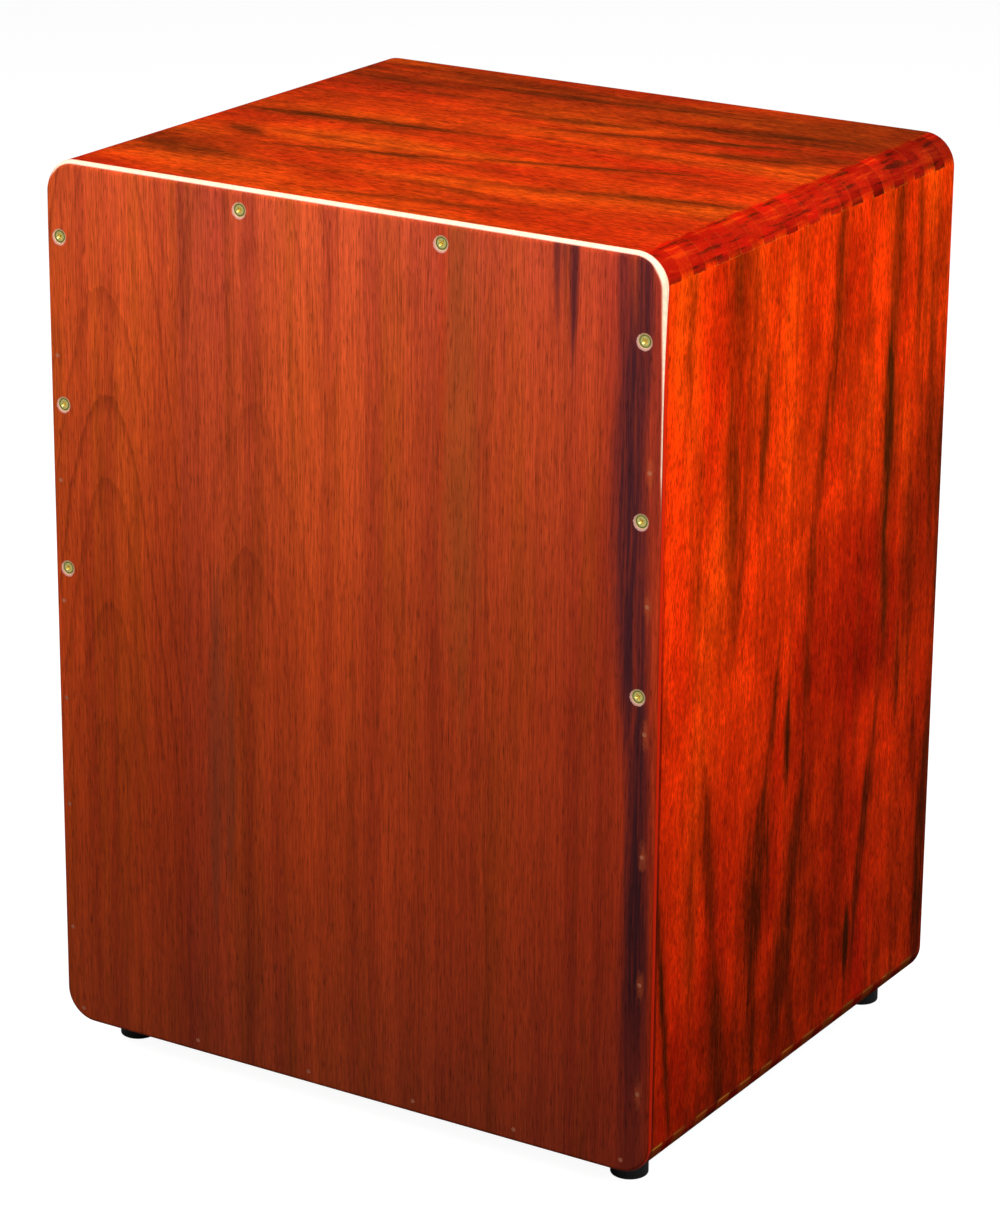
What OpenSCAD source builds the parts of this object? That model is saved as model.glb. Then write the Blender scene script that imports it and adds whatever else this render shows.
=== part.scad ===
// Cajon: a box drum of four finger-jointed boards, with a thin playing plate (the tapa) on the front,
// a back panel with a sound hole, rubber feet and a snare unit inside.
// Millimetres, +Z up. The origin is in the middle of the footprint, on the floor; the tapa faces -Y.
// Left and right are as seen by someone who looks at the tapa.

/* [Body] */
// Outside width of the body
body_w = 368; // [330:1:400]
// Outside depth of the body, with the tapa
body_d = 306; // [280:1:340]
// Outside height of the body, without the feet
body_h = 482; // [460:1:520]
// Thickness of the four boards
board_t = 15; // [14:0.5:17]
// Radius of the rounded front-to-back edges
corner_r = 17.5; // [17:0.5:24]
// Fingers along each corner joint, those of both boards together
finger_count = 26; // [18:2:32]

/* [Tapa] */
// Thickness of the tapa
tapa_t = 3.5; // [3:0.1:4.5]
// Radius of the tapa's rounded front edge
tapa_arris_r = 2.3; // [0.5:0.1:2.8]
// Distance of the top screws below the body's top
top_screw_drop = 11.5; // [9:0.5:13]
// Reach of the left top screw from the middle of the tapa
top_left_screw_reach = 62; // [40:1:100]
// Reach of the right top screw from the middle of the tapa
top_right_screw_reach = 58; // [40:1:100]
// Distance of the highest left screw below the body's top
left_screw_drop = 41; // [35:1:60]
// Distance of the highest right screw below the body's top
right_screw_drop = 43; // [35:1:60]
// Spacing of the screws down each side
side_screw_pitch = 90; // [80:1:110]
// Distance of the left screws from the body's side
left_screw_inset = 8.5; // [7:0.5:11]
// Distance of the right screws from the body's side
right_screw_inset = 11; // [7:0.5:11]

/* [Back] */
// Thickness of the back panel
back_t = 6; // [4:0.5:9]
// How far the back panel lies inside the rear edges of the boards
back_recess = 2; // [0.5:0.5:5]
// Diameter of the sound hole
sound_hole_d = 118; // [90:1:130]
// Height of the sound hole's centre above the middle of the body
sound_hole_rise = 24; // [-40:1:40]
// Width of a batten, measured from the board that it is glued to
batten_w = 12; // [10:1:16]
// Depth of a batten, measured from the back panel
batten_d = 14; // [12:1:20]

/* [Feet] */
// Diameter of a foot
foot_d = 20; // [18:1:26]
// Height of a foot
foot_h = 14.5; // [12:0.5:20]
// Distance of a foot's centre from the body's side
foot_side_inset = 27; // [25:1:50]
// Distance of a front foot's centre from the front of the tapa
foot_front_inset = 28.5; // [20:0.5:50]
// Distance of a rear foot's centre from the rear of the body
foot_rear_inset = 20; // [18:0.5:50]

/* [Snares] */
// Thickness of the square snare bar
snare_bar_t = 20; // [16:1:24]
// Height of the snare bar's top below the seat board
snare_bar_drop = 105; // [95:1:130]
// Gap between the tapa and the snare bar
snare_bar_gap = 12; // [10:1:16]
// Distance of each snare set from the middle of the body
snare_reach = 96; // [80:1:110]
// Wires in each snare set
snare_wire_count = 10; // [4:1:12]
// Outside diameter of a coiled snare wire
snare_wire_d = 1.8; // [1.4:0.1:2.2]
// Length of a snare wire
snare_wire_len = 98; // [60:1:100]
// Outward lean of the snare sets, in degrees
snare_splay = 12; // [0:1:15]

/* [Hidden] */
$fn = 96;

// Levels and faces of the body
body_bottom = foot_h;
body_top = foot_h + body_h;
body_mid_z = (body_bottom + body_top) / 2;
front_y = -body_d / 2;
rear_y = body_d / 2;
shell_front_y = front_y + tapa_t;
shell_d = body_d - tapa_t;
finger_w = shell_d / finger_count;
inner_x = body_w / 2 - board_t;
inner_bottom = body_bottom + board_t;
inner_top = body_top - board_t;
inner_h = inner_top - inner_bottom;
overcut = 1;

// Countersunk wood screw, 3.5 mm
cs_head_d = 7;
cs_shank_d = 3.5;
cs_root_d = 2.5;
cs_rim_h = 0.3;
cs_len = 20;
cs_thread_len = 13;
cs_pitch = 1.6;
cs_tip_len = 2.4;
cs_sink = 0.15;
cs_running_gap = 0.05;
cs_seat_gap = 0.35;
recess_w = 0.9;
recess_depth = 1.7;
recess_mouth_d = 3.9;
recess_floor_d = 1.6;

// Pan-head screws and washers
pan_head_h = 2.2;
foot_screw_d = 4;
foot_screw_head_d = 8;
foot_screw_reach = 11;
foot_washer_d = 10;
foot_washer_t = 1;
foot_pocket_d = 11;
foot_pocket_h = 7;
foot_chamfer = 0.8;
plate_screw_d = 3;
plate_screw_head_d = 5.6;
plate_screw_reach = 12;

// Brads that hold the tapa below its screws, and the filler over them
brad_d = 1.2;
brad_len = 22;
brad_gap = 0.05;
filler_d = 2.4;
filler_t = 0.8;
left_brad_inset = 5;
right_brad_inset = 7;
bottom_brad_rise = 7;
left_brad_drops = [105, 173, 240, 295, 356, 428];
right_brad_drops = [108, 176, 242, 307, 376, 436];
bottom_brad_reaches = [11, 88, 160, 226, 288, 352];
BRADS = concat(
    [for (drop = left_brad_drops) [-body_w / 2 + left_brad_inset, body_top - drop]],
    [for (drop = right_brad_drops) [body_w / 2 - right_brad_inset, body_top - drop]],
    [for (reach = bottom_brad_reaches) [-body_w / 2 + reach, body_bottom + bottom_brad_rise]]
);

// Screws that hold the upper part of the tapa: name, place across, height, turn of the cross recess
TAPA_SCREWS = concat(
    [
        ["tapa_screw_top_left", -top_left_screw_reach, body_top - top_screw_drop, 38],
        ["tapa_screw_top_right", top_right_screw_reach, body_top - top_screw_drop, 52]
    ],
    [for (i = [0 : 2]) [
        str("tapa_screw_left_", i + 1),
        -body_w / 2 + left_screw_inset,
        body_top - left_screw_drop - i * side_screw_pitch,
        35 + 7 * i
    ]],
    [for (i = [0 : 2]) [
        str("tapa_screw_right_", i + 1),
        body_w / 2 - right_screw_inset,
        body_top - right_screw_drop - i * side_screw_pitch,
        45 - 9 * i
    ]]
);

// Back panel and its screws
back_rear_y = rear_y - back_recess;
back_front_y = back_rear_y - back_t;
back_gap = 0.3;
sound_hole_z = body_mid_z + sound_hole_rise;
sound_hole_chamfer = 1;
back_screw_rows = 4;
back_screw_rise = (inner_h - batten_w) / (back_screw_rows - 1);
BACK_SCREWS = concat(
    [for (side = [-1, 1], row = [0 : back_screw_rows - 1]) [
        side * (inner_x - batten_w / 2),
        inner_bottom + batten_w / 2 + row * back_screw_rise
    ]],
    [for (z = [inner_bottom + batten_w / 2, inner_top - batten_w / 2]) [0, z]]
);

// Feet
foot_x = body_w / 2 - foot_side_inset;
FEET = [
    ["foot_front_left", -foot_x, front_y + foot_front_inset],
    ["foot_front_right", foot_x, front_y + foot_front_inset],
    ["foot_rear_left", -foot_x, rear_y - foot_rear_inset],
    ["foot_rear_right", foot_x, rear_y - foot_rear_inset]
];

// Snare unit
bar_top = inner_top - snare_bar_drop;
bar_front_y = shell_front_y + snare_bar_gap;
bar_mid_y = bar_front_y + snare_bar_t / 2;
bar_end_gap = 0.5;
block_w = 14;
block_h = 32;
bar_screw_len = 34;
snare_pitch = 4.2;
snare_plate_h = 13;
snare_plate_t = 1.2;
snare_plate_w = snare_pitch * (snare_wire_count - 1) + 8;
snare_plate_z = bar_top - snare_bar_t / 2;
snare_foot_gap = 0.2;
snare_tip_gap = 0.15;
snare_foot_y = bar_front_y - snare_plate_t - snare_wire_d / 2 - snare_foot_gap;
snare_tip_y = shell_front_y + snare_wire_d / 2 + snare_tip_gap;
snare_lean = asin((snare_foot_y - snare_tip_y) / snare_wire_len);
snare_wire_drop = 4;

// ---- shared shapes ----

// Puts its children on the front of the body at x, z, with their own +Z pointing out of the tapa
module on_front(x, z, y = front_y) {
    translate([x, y, z])
        rotate([90, 0, 0])
            children();
}

// Puts its children on the rear at x, z, with their own +Z pointing backwards
module on_rear(x, z, y) {
    translate([x, y, z])
        rotate([-90, 0, 0])
            children();
}

// Box given by its two ends along each axis
module span_box(x, y, z) {
    translate([x[0], y[0], z[0]])
        cube([x[1] - x[0], y[1] - y[0], z[1] - z[0]]);
}

// Rounded outline of the body as seen from the front
module body_outline() {
    square([body_w - 2 * corner_r, body_h], center = true);
    square([body_w, body_h - 2 * corner_r], center = true);
    for (x = [-1, 1], z = [-1, 1])
        translate([x * (body_w / 2 - corner_r), z * (body_h / 2 - corner_r)])
            circle(corner_r);
}

// Solid block in the outline of the body, from the back of the tapa to the rear
module body_block() {
    on_front(0, body_mid_z, rear_y)
        linear_extrude(shell_d)
            body_outline();
}

// Boxes over every second finger of the joint in the upper right corner, outwards from x and z.
// The first one from the front is number `first`.
module finger_row(first, x, z) {
    for (i = [first : 2 : finger_count - 1]) {
        start = shell_front_y + i * finger_w - (i == 0 ? overcut : 0);
        end = shell_front_y + (i + 1) * finger_w + (i == finger_count - 1 ? overcut : 0);
        span_box([x, body_w / 2 + overcut], [start, end], [z, body_top + overcut]);
    }
}

// Mirrors its children from the upper half of the body to the lower half
module to_lower_half() {
    translate([0, 0, body_bottom + body_top])
        mirror([0, 0, 1])
            children();
}

// Repeats its children on both sides of the body
module on_both_sides() {
    for (side = [0, 1])
        mirror([side, 0, 0])
            children();
}

// Upper board of the body, without the holes
module horizontal_board() {
    difference() {
        intersection() {
            body_block();
            span_box(
                [-body_w, body_w],
                [front_y - overcut, rear_y + overcut],
                [inner_top, body_top + overcut]
            );
        }
        on_both_sides()
            finger_row(1, inner_x, inner_top - overcut);
    }
}

// Right-hand board of the body, without the holes
module vertical_board() {
    difference() {
        intersection() {
            body_block();
            span_box(
                [inner_x, body_w],
                [front_y - overcut, rear_y + overcut],
                [body_bottom - overcut, body_top + overcut]
            );
        }
        finger_row(0, inner_x - overcut, inner_top);
        to_lower_half()
            finger_row(0, inner_x - overcut, inner_top);
    }
}

// Pilot holes in the boards for the screws and the brads of the tapa
module front_pilot_holes() {
    for (screw = TAPA_SCREWS)
        on_front(screw[1], screw[2])
            translate([0, 0, -cs_len - overcut])
                cylinder(h = cs_len + 2 * overcut, d = cs_shank_d + 2 * cs_running_gap);
    for (brad = BRADS)
        on_front(brad[0], brad[1])
            translate([0, 0, -filler_t - brad_len])
                cylinder(h = brad_len + filler_t + overcut, d = brad_d + 2 * brad_gap);
}

// Cross recess, from the top of a screw head down
module cross_recess() {
    for (turn = [0, 90])
        rotate([90, 0, turn])
            linear_extrude(recess_w, center = true)
                polygon([
                    [-recess_mouth_d / 2, overcut],
                    [-recess_mouth_d / 2, 0],
                    [-recess_floor_d / 2, -recess_depth],
                    [recess_floor_d / 2, -recess_depth],
                    [recess_mouth_d / 2, 0],
                    [recess_mouth_d / 2, overcut]
                ]);
}

// Countersunk wood screw whose head is at z = 0; its thread is a row of rings
module countersunk_screw(length, thread_len, turn) {
    head_r = cs_head_d / 2;
    shank_r = cs_shank_d / 2;
    root_r = cs_root_d / 2;
    cone_end = -cs_rim_h - (head_r - shank_r);
    tip_start = -length + cs_tip_len;
    thread_start = -length + thread_len;
    rings = floor((thread_start - tip_start) / cs_pitch);
    difference() {
        rotate_extrude()
            polygon(concat(
                [[0, 0], [head_r, 0], [head_r, -cs_rim_h], [shank_r, cone_end]],
                [[shank_r, thread_start]],
                [for (i = [0 : rings - 1], step = [0 : 2]) [
                    step == 1 ? shank_r : root_r,
                    thread_start - (i + [0.15, 0.5, 0.85][step]) * cs_pitch
                ]],
                [[root_r, tip_start], [0, -length]]
            ));
        rotate([0, 0, turn])
            cross_recess();
    }
}

// Pan-head screw whose head stands on z = 0 and whose shank goes down from there
module pan_screw(shank_d, head_d, reach, turn) {
    edge_h = pan_head_h * 0.6;
    crown_r = head_d * 0.3;
    difference() {
        rotate_extrude()
            polygon([
                [0, -reach],
                [shank_d * 0.3, -reach],
                [shank_d / 2, -reach + shank_d * 0.6],
                [shank_d / 2, 0],
                [head_d / 2, 0],
                [head_d / 2, edge_h],
                [crown_r, pan_head_h],
                [0, pan_head_h]
            ]);
        translate([0, 0, pan_head_h])
            rotate([0, 0, turn])
                cross_recess();
    }
}

// ---- body ----

module seat_board() {
    color("orangered")
        difference() {
            horizontal_board();
            front_pilot_holes();
        }
}

module base_board() {
    color("firebrick")
        difference() {
            to_lower_half()
                horizontal_board();
            front_pilot_holes();
            for (foot = FEET)
                translate([foot[1], foot[2], body_bottom - overcut])
                    cylinder(h = foot_screw_reach + overcut, d = foot_screw_d + 2 * brad_gap);
        }
}

module left_side_board() {
    color("orangered")
        difference() {
            mirror([1, 0, 0])
                vertical_board();
            front_pilot_holes();
        }
}

module right_side_board() {
    color("orangered")
        difference() {
            vertical_board();
            front_pilot_holes();
        }
}

// ---- tapa ----

// Section of the tapa's edge: x runs out to the edge at 0, y from the back face to the front
edge_strip_w = 6;
module tapa_edge_section() {
    translate([-edge_strip_w, 0])
        square([edge_strip_w, tapa_t - tapa_arris_r]);
    translate([-edge_strip_w, 0])
        square([edge_strip_w - tapa_arris_r, tapa_t]);
    intersection() {
        translate([-tapa_arris_r, tapa_t - tapa_arris_r])
            circle(tapa_arris_r);
        translate([-edge_strip_w, 0])
            square([edge_strip_w, tapa_t]);
    }
}

// Upper right corner of the tapa, a quarter turn of the edge section and of the plate inside it
module tapa_corner() {
    translate([body_w / 2 - corner_r, body_h / 2 - corner_r, 0])
        rotate_extrude(angle = 90) {
            translate([corner_r, 0])
                tapa_edge_section();
            square([corner_r - edge_strip_w + overcut, tapa_t]);
        }
}

// Tapa without holes, lying with its back on z = 0
module tapa_blank() {
    straight_w = body_w - 2 * corner_r;
    straight_h = body_h - 2 * corner_r;
    core_inset = 2 * edge_strip_w - 2 * overcut;
    linear_extrude(tapa_t)
        square([straight_w, body_h - core_inset], center = true);
    linear_extrude(tapa_t)
        square([body_w - core_inset, straight_h], center = true);
    for (side = [0, 1]) {
        mirror([side, 0, 0])
            translate([body_w / 2, straight_h / 2, 0])
                rotate([90, 0, 0])
                    linear_extrude(straight_h)
                        tapa_edge_section();
        mirror([0, side, 0])
            translate([-straight_w / 2, body_h / 2, 0])
                rotate([90, 0, 90])
                    linear_extrude(straight_w)
                        tapa_edge_section();
    }
    for (x = [0, 1], z = [0, 1])
        mirror([x, 0, 0])
            mirror([0, z, 0])
                tapa_corner();
}

// Countersink and clearance hole through the tapa for one screw
module tapa_countersink() {
    mouth_r = cs_head_d / 2 + cs_seat_gap + cs_sink;
    rotate_extrude()
        polygon([
            [0, overcut],
            [mouth_r + overcut, overcut],
            [cs_shank_d / 2 + cs_seat_gap, cs_shank_d / 2 + cs_seat_gap - mouth_r],
            [cs_shank_d / 2 + cs_seat_gap, -tapa_t - overcut],
            [0, -tapa_t - overcut]
        ]);
}

module tapa() {
    color("sienna")
        difference() {
            on_front(0, body_mid_z, shell_front_y)
                tapa_blank();
            for (screw = TAPA_SCREWS)
                on_front(screw[1], screw[2])
                    tapa_countersink();
            for (brad = BRADS)
                on_front(brad[0], brad[1]) {
                    translate([0, 0, -filler_t])
                        cylinder(h = filler_t + overcut, d = filler_d);
                    translate([0, 0, -tapa_t - overcut])
                        cylinder(h = tapa_t + overcut, d = brad_d + 2 * brad_gap);
                }
        }
}

module tapa_screw(screw) {
    color("goldenrod")
        on_front(screw[1], screw[2], front_y + cs_sink)
            countersunk_screw(cs_len, cs_thread_len, screw[3]);
}

module tapa_brads() {
    color("silver")
        for (brad = BRADS)
            on_front(brad[0], brad[1], front_y + filler_t)
                translate([0, 0, -brad_len])
                    cylinder(h = brad_len, d = brad_d);
}

module brad_filler() {
    color("tan")
        for (brad = BRADS)
            on_front(brad[0], brad[1], front_y)
                translate([0, 0, -filler_t])
                    cylinder(h = filler_t, d = filler_d);
}

// ---- back ----

module back_panel() {
    color("burlywood")
        difference() {
            span_box(
                [-inner_x + back_gap, inner_x - back_gap],
                [back_front_y, back_rear_y],
                [inner_bottom + back_gap, inner_top - back_gap]
            );
            on_rear(0, sound_hole_z, back_front_y)
                sound_hole_cut();
            for (screw = BACK_SCREWS)
                on_rear(screw[0], screw[1], back_rear_y)
                    back_countersink();
        }
}

// Sound hole with a small chamfer on both faces of the panel
module sound_hole_cut() {
    hole_r = sound_hole_d / 2;
    mouth_r = hole_r + sound_hole_chamfer;
    rotate_extrude()
        polygon([
            [0, -overcut],
            [mouth_r + overcut, -overcut],
            [hole_r, sound_hole_chamfer],
            [hole_r, back_t - sound_hole_chamfer],
            [mouth_r + overcut, back_t + overcut],
            [0, back_t + overcut]
        ]);
}

// Countersink and hole for one screw of the back panel
module back_countersink() {
    head_r = cs_head_d / 2 + brad_gap;
    shank_r = cs_shank_d / 2 + brad_gap;
    rotate_extrude()
        polygon([
            [0, overcut],
            [head_r, overcut],
            [head_r, -cs_sink - cs_rim_h],
            [shank_r, -cs_sink - cs_rim_h - (head_r - shank_r)],
            [shank_r, -back_t - overcut],
            [0, -back_t - overcut]
        ]);
}

back_screw_len = 16;
back_screw_thread_len = 10;
module back_panel_screws() {
    color("goldenrod")
        for (i = [0 : len(BACK_SCREWS) - 1])
            on_rear(BACK_SCREWS[i][0], BACK_SCREWS[i][1], back_rear_y - cs_sink)
                countersunk_screw(back_screw_len, back_screw_thread_len, 25 + 20 * i);
}

// Pilot holes in the battens
module back_pilot_holes() {
    for (screw = BACK_SCREWS)
        on_rear(screw[0], screw[1], back_front_y)
            translate([0, 0, back_t - back_screw_len - overcut])
                cylinder(h = back_screw_len, d = cs_shank_d + 2 * brad_gap);
}

module batten(x, z) {
    color("peru")
        difference() {
            span_box(x, [back_front_y - batten_d, back_front_y], z);
            back_pilot_holes();
        }
}

module batten_top() {
    batten([-inner_x, inner_x], [inner_top - batten_w, inner_top]);
}

module batten_bottom() {
    batten([-inner_x, inner_x], [inner_bottom, inner_bottom + batten_w]);
}

module batten_left() {
    batten([-inner_x, -inner_x + batten_w], [inner_bottom + batten_w, inner_top - batten_w]);
}

module batten_right() {
    batten([inner_x - batten_w, inner_x], [inner_bottom + batten_w, inner_top - batten_w]);
}

// ---- feet ----

module foot(place) {
    color("black")
        translate([place[1], place[2], 0])
            difference() {
                union() {
                    cylinder(h = foot_chamfer, d1 = foot_d - 2 * foot_chamfer, d2 = foot_d);
                    translate([0, 0, foot_chamfer])
                        cylinder(h = foot_h - foot_chamfer, d = foot_d);
                }
                translate([0, 0, -overcut])
                    cylinder(h = foot_pocket_h + overcut, d = foot_pocket_d);
                cylinder(h = foot_h + overcut, d = foot_screw_d + 2 * brad_gap);
            }
}

module foot_washers() {
    color("silver")
        for (foot = FEET)
            translate([foot[1], foot[2], foot_pocket_h - foot_washer_t])
                difference() {
                    cylinder(h = foot_washer_t, d = foot_washer_d);
                    translate([0, 0, -overcut])
                        cylinder(h = foot_washer_t + 2 * overcut, d = foot_screw_d + 2 * brad_gap);
                }
}

module foot_screws() {
    reach = body_bottom + foot_screw_reach - (foot_pocket_h - foot_washer_t) - overcut;
    color("silver")
        for (i = [0 : len(FEET) - 1])
            translate([FEET[i][1], FEET[i][2], foot_pocket_h - foot_washer_t])
                mirror([0, 0, 1])
                    pan_screw(foot_screw_d, foot_screw_head_d, reach, 30 * i);
}

// ---- snare unit ----

module snare_bar() {
    color("peru")
        difference() {
            span_box(
                [-inner_x + bar_end_gap, inner_x - bar_end_gap],
                [bar_front_y, bar_front_y + snare_bar_t],
                [bar_top - snare_bar_t, bar_top]
            );
            bar_screw_holes();
            plate_screw_places()
                translate([0, 0, -plate_screw_reach - overcut])
                    cylinder(h = plate_screw_reach + 2 * overcut, d = plate_screw_d + 2 * brad_gap);
        }
}

// Hole for the screw at each end of the bar, through the bar and into its block
module bar_screw_holes() {
    head_r = cs_head_d / 2 + brad_gap;
    shank_r = cs_shank_d / 2 + brad_gap;
    on_both_sides()
        translate([inner_x - block_w / 2, bar_mid_y, bar_top])
            rotate_extrude()
                polygon([
                    [0, overcut],
                    [head_r, overcut],
                    [head_r, -cs_sink - cs_rim_h],
                    [shank_r, -cs_sink - cs_rim_h - (head_r - shank_r)],
                    [shank_r, -bar_screw_len - overcut],
                    [0, -bar_screw_len - overcut]
                ]);
}

module snare_block(side) {
    color("peru")
        difference() {
            mirror([side < 0 ? 1 : 0, 0, 0])
                span_box(
                    [inner_x - block_w, inner_x],
                    [bar_front_y, bar_front_y + snare_bar_t],
                    [bar_top - snare_bar_t - block_h, bar_top - snare_bar_t]
                );
            bar_screw_holes();
        }
}

module snare_block_left() {
    snare_block(-1);
}

module snare_block_right() {
    snare_block(1);
}

module snare_bar_screws() {
    color("goldenrod")
        on_both_sides()
            translate([inner_x - block_w / 2, bar_mid_y, bar_top - cs_sink])
                countersunk_screw(bar_screw_len, bar_screw_len / 2, 40);
}

// Puts its children on the front of the snare bar at one set, leaning outwards with it;
// their own +Z points at the tapa and +Y along the wires
module at_snare_set(side, y) {
    translate([side * snare_reach, y, snare_plate_z])
        rotate([0, side * snare_splay, 0])
            rotate([90, 0, 0])
                children();
}

// Places of the two screws of each clamp plate
module plate_screw_places(y = bar_front_y) {
    for (side = [-1, 1])
        at_snare_set(side, y)
            for (end = [-1, 1])
                translate([end * snare_plate_w * 0.33, -snare_plate_h * 0.2, 0])
                    children();
}

module snare_plate(side) {
    color("silver")
        difference() {
            at_snare_set(side, bar_front_y)
                translate([-snare_plate_w / 2, -snare_plate_h / 2, 0])
                    cube([snare_plate_w, snare_plate_h, snare_plate_t]);
            plate_screw_places()
                translate([0, 0, -overcut])
                    cylinder(h = snare_plate_t + 2 * overcut, d = plate_screw_d + 2 * brad_gap);
        }
}

module snare_plate_left() {
    snare_plate(-1);
}

module snare_plate_right() {
    snare_plate(1);
}

module snare_plate_screws() {
    color("silver")
        plate_screw_places(bar_front_y - snare_plate_t)
            pan_screw(plate_screw_d, plate_screw_head_d, plate_screw_reach, 20);
}

// One set of coiled wires, soldered side by side to the upper edge of its plate
module snare_wires(side) {
    first = -snare_pitch * (snare_wire_count - 1) / 2;
    color("silver")
        at_snare_set(side, snare_foot_y)
            for (i = [0 : snare_wire_count - 1])
                translate([first + i * snare_pitch, snare_wire_drop, 0])
                    rotate([-90 + snare_lean, 0, 0])
                        cylinder(h = snare_wire_len, d = snare_wire_d);
}

module snare_wires_left() {
    snare_wires(-1);
}

module snare_wires_right() {
    snare_wires(1);
}

// ---- what is drawn ----

seat_board();
base_board();
left_side_board();
right_side_board();
tapa();
for (screw = TAPA_SCREWS)
    tapa_screw(screw);
tapa_brads();
brad_filler();
back_panel();
batten_top();
batten_bottom();
batten_left();
batten_right();
back_panel_screws();
for (place = FEET)
    foot(place);
foot_washers();
foot_screws();
snare_bar();
snare_block_left();
snare_block_right();
snare_bar_screws();
snare_plate_left();
snare_plate_right();
snare_plate_screws();
snare_wires_left();
snare_wires_right();
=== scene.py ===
"""Looks of the cajon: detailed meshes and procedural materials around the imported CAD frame.

Lengths are in metres, in the row frame: +Z up, the tapa faces -Y. Inside the materials the
coordinates are in millimetres, because the grain is described in millimetres.
"""

import functools
import math

import bmesh
import bpy
from mathutils import Matrix, Vector
from mathutils.geometry import tessellate_polygon


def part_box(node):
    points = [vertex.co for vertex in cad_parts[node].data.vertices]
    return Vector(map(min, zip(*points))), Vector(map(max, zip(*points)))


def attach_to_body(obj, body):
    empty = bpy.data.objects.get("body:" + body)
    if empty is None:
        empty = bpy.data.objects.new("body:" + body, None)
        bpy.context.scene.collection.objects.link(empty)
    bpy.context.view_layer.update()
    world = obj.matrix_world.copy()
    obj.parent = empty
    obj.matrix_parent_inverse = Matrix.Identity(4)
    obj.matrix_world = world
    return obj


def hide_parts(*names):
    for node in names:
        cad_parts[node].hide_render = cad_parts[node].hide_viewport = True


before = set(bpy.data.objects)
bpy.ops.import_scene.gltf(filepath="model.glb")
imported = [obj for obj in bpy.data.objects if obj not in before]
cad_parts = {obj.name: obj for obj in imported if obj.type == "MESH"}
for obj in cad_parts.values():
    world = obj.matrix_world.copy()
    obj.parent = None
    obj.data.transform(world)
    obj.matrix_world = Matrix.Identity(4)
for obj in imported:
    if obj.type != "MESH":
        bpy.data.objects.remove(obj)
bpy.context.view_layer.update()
scene = bpy.context.scene
BODY = "cajon_body"
MM = 0.001

# ---- sizes, from the frame ----

tapa_low, tapa_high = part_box("tapa")
side_low, side_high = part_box("right_side_board")
back_low, back_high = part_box("back_panel")

HALF_W = tapa_high.x
FRONT_Y = tapa_low.y
SHELL_FRONT_Y = side_low.y
REAR_Y = side_high.y
BOTTOM = tapa_low.z
TOP = tapa_high.z
INNER_X = side_low.x
INNER_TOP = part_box("seat_board")[0].z
INNER_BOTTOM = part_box("base_board")[1].z
CORNER_R = 17.5 * MM
CORNER_X = HALF_W - CORNER_R
CORNER_Z = TOP - CORNER_R
FINGERS = 26
FINGER_W = (REAR_Y - SHELL_FRONT_Y) / FINGERS
SCREW_SINK = 0.15 * MM
SCREWS = sorted(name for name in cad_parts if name.startswith("tapa_screw_"))
BRADS = "brad_filler"


def middle(node):
    low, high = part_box(node)
    return (low + high) / 2


def islands(node):
    """(centre, size) of each separate solid of a CAD node."""
    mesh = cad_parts[node].data
    parent = list(range(len(mesh.vertices)))

    def root(i):
        while parent[i] != i:
            parent[i] = parent[parent[i]]
            i = parent[i]
        return i

    places = {}
    for vertex in mesh.vertices:
        first = places.setdefault(tuple(round(c, 6) for c in vertex.co), vertex.index)
        parent[root(vertex.index)] = root(first)
    for polygon in mesh.polygons:
        for other in polygon.vertices[1:]:
            parent[root(other)] = root(polygon.vertices[0])
    solids = {}
    for vertex in mesh.vertices:
        solids.setdefault(root(vertex.index), []).append(vertex.co)
    found = []
    for corners in solids.values():
        low = Vector([min(c[i] for c in corners) for i in range(3)])
        high = Vector([max(c[i] for c in corners) for i in range(3)])
        found.append(((low + high) / 2, high - low))
    return found


# ---- camera ----

CAMERA_AZIMUTH = math.radians(31.83)
CAMERA_ELEVATION = math.radians(19.25)
CAMERA_ROLL = math.radians(0.48)
CAMERA_DISTANCE = 2.3115
CAMERA_LENS_MM = 126.03
CAMERA_TARGET = Vector((0.0002, -0.0031, 0.2403))


def make_camera():
    data = bpy.data.cameras.new("camera")
    data.sensor_width = 36.0
    data.lens = CAMERA_LENS_MM
    camera = bpy.data.objects.new("camera", data)
    scene.collection.objects.link(camera)
    back = Vector((
        math.sin(CAMERA_AZIMUTH) * math.cos(CAMERA_ELEVATION),
        -math.cos(CAMERA_AZIMUTH) * math.cos(CAMERA_ELEVATION),
        math.sin(CAMERA_ELEVATION),
    ))
    camera.location = CAMERA_TARGET + back * CAMERA_DISTANCE
    level = (-back).to_track_quat("-Z", "Y").to_matrix()
    camera.rotation_euler = (level @ Matrix.Rotation(CAMERA_ROLL, 3, "Z")).to_euler()
    scene.camera = camera


make_camera()

# ---- colours ----


def colour(red, green, blue):
    """Linear colour with alpha, from 0 to 255 as a screen shows it."""
    parts = [c / 255 for c in (red, green, blue)]
    linear = [c / 12.92 if c <= 0.04045 else ((c + 0.055) / 1.055) ** 2.4 for c in parts]
    return (*linear, 1.0)


# ---- node graphs ----


class Wire:
    """A node's output, which is added, subtracted, multiplied and divided like a number."""

    def __init__(self, graph, socket):
        self.graph = graph
        self.socket = socket

    def __add__(self, other):
        return self.graph.math("ADD", self, other)

    def __sub__(self, other):
        return self.graph.math("SUBTRACT", self, other)

    def __rsub__(self, other):
        return self.graph.math("SUBTRACT", other, self)

    def __mul__(self, other):
        return self.graph.math("MULTIPLY", self, other)

    def __truediv__(self, number):
        return self * (1 / number)

    def __abs__(self):
        return self.graph.math("ABSOLUTE", self)

    __radd__ = __add__
    __rmul__ = __mul__


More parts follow.
